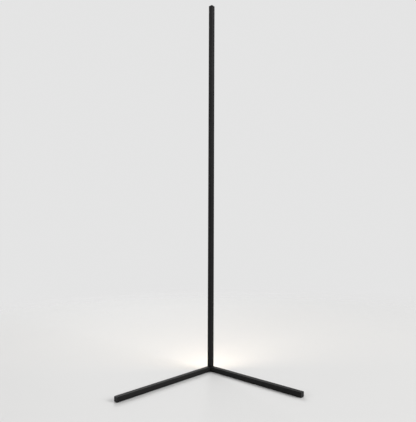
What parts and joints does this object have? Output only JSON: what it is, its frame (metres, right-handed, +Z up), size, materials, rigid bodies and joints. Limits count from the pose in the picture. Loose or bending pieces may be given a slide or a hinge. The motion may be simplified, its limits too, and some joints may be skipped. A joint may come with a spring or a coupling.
{
  "type": "corner floor lamp",
  "caption": "Slim corner floor lamp: a black square-section pole with an opal light strip along its back, on two tube legs at a right angle, with a low-voltage inlet at its foot.",
  "frame": {"origin": "on the floor, under the middle of the pole, at the middle of the corner block's foot pad", "axes": "+Z up along the pole; +Y to the room corner that the light faces; -Y to the viewer; the legs run along -X-Y and +X-Y"},
  "size_m": [0.577, 0.2976, 1.4],
  "materials": {
    "black_anodised_aluminium": "satin",
    "black_coated_steel": "matte",
    "black_coated_casting": "matte",
    "moulded_black": "matte",
    "socket_plastic": "satin",
    "black_rubber": "matte",
    "opal_silicone": "satin",
    "white_tape": "satin",
    "warm_phosphor": "satin",
    "resistor_ceramic": "matte",
    "zinc_plated_steel": "satin",
    "black_screw_steel": "satin",
    "socket_brass": "polished",
    "socket_nickel": "polished",
    "red_insulation": "satin",
    "black_insulation": "satin"
  },
  "bodies": {
    "root": {"corner_block": "black_coated_casting", "leg_left": "black_coated_steel", "leg_right": "black_coated_steel", "leg_cap_left": "moulded_black", "leg_cap_right": "moulded_black", "leg_screws": "black_screw_steel", "foot_pad_corner": "black_rubber", "foot_pad_left": "black_rubber", "foot_pad_right": "black_rubber", "pole_lower": "black_anodised_aluminium", "pole_middle": "black_anodised_aluminium", "pole_upper": "black_anodised_aluminium", "splice_lower": "zinc_plated_steel", "splice_upper": "zinc_plated_steel", "splice_screws": "black_screw_steel", "key_screws": "black_screw_steel", "top_cap": "moulded_black", "diffuser": "opal_silicone", "led_tape": "white_tape", "led_chips": "warm_phosphor", "led_resistors": "resistor_ceramic", "rear_cover": "moulded_black", "rear_cover_screw": "black_screw_steel", "socket_body": "socket_plastic", "socket_pin": "socket_brass", "socket_nut": "socket_nickel", "socket_tag_positive": "socket_nickel", "socket_tag_negative": "socket_nickel", "lead_positive": "red_insulation", "lead_negative": "black_insulation"}
  },
  "joints": []
}
